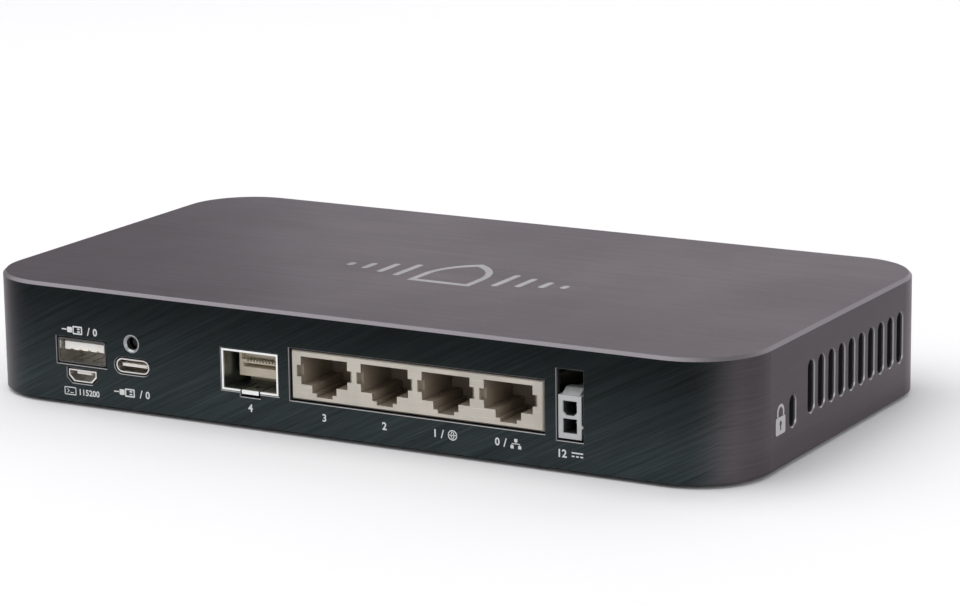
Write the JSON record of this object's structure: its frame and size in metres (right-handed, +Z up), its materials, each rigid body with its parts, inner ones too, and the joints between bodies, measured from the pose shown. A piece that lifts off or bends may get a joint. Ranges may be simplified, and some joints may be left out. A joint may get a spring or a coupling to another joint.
{
  "type": "firewall appliance",
  "caption": "Small fanless network firewall appliance in a brushed metal case, with network, module, serial-bus, console and power sockets along one wall and vents in both sides.",
  "frame": {"origin": "middle of the footprint, on the surface that the feet stand on", "axes": "+Z up, -Y out of the port wall, +X out of the side wall with the lock slot"},
  "size_m": [0.193, 0.106, 0.028],
  "materials": {
    "case": "fine brushed, dark anodised",
    "base_sheet": "satin black powder coat",
    "foot_rubber": "matte",
    "screw_steel": "black zinc",
    "steel_sheet": "plain",
    "standoff_brass": "turned",
    "board": "solder mask over glass fibre",
    "jack_plating": "satin nickel plate",
    "jack_plastic": "moulded",
    "gold_contact": "gold flash",
    "cage_plating": "tin plate",
    "beige_plastic": "moulded",
    "socket_steel": "bright nickel plate",
    "white_plastic": "moulded",
    "black_plastic": "moulded",
    "pale_plastic": "moulded",
    "ring_steel": "turned, bevelled",
    "header_plastic": "moulded",
    "tin_pin": "tin plate",
    "chip_black": "moulded epoxy",
    "pad_grey": "soft",
    "sink_aluminium": "extruded",
    "ferrite": "sintered",
    "capacitor_can": "drawn",
    "cell_steel": "polished",
    "clear_plastic": "clear moulded acrylic",
    "lamp_white": "diffuse dome"
  },
  "bodies": {
    "case": {"base_plate": "base_sheet", "base_screws": "screw_steel", "board_screws": "screw_steel", "board_standoffs": "standoff_brass", "cell_holder": "black_plastic", "clock_cell": "cell_steel", "console_shell": "socket_steel", "console_tongue": "pale_plastic", "heat_sink": "sink_aluminium", "jack_contacts": "gold_contact", "jack_housing": "jack_plastic", "jack_shield": "jack_plating", "light_guide": "clear_plastic", "line_transformers": "chip_black", "lock_plate": "steel_sheet", "main_board": "board", "memory_chips": "chip_black", "module_cage": "cage_plating", "module_plug": "beige_plastic", "power_capacitors": "capacitor_can", "power_header": "header_plastic", "power_inductors": "ferrite", "power_pins": "tin_pin", "processor": "chip_black", "reset_ring": "ring_steel", "reset_switch": "black_plastic", "rubber_feet": "foot_rubber", "sink_screws": "screw_steel", "status_lights": "lamp_white", "storage_chip": "chip_black", "switch_chip": "chip_black", "thermal_pad": "pad_grey", "top_cover": "case", "usb_a_contacts": "gold_contact", "usb_a_shell": "socket_steel", "usb_a_tongue": "white_plastic", "usb_c_pads": "gold_contact", "usb_c_shell": "socket_steel", "usb_c_tongue": "pale_plastic"},
    "reset_button": {"reset_button": "black_plastic"},
    "cage_latch": {"cage_latch": "cage_plating"}
  },
  "joints": [
    {"name": "reset_press", "type": "slide", "parent": "case", "child": "reset_button", "axis": [0, 1, 0], "range_m": [0, 0.0005], "stiffness_N_per_m": 2000},
    {"name": "latch_flex", "type": "hinge", "parent": "case", "child": "cage_latch", "pos_m": [-0.02166, -0.0465, 0.00882], "axis": [1, 0, 0], "range_deg": [0, 5], "stiffness_Nm_per_rad": 0.2}
  ]
}
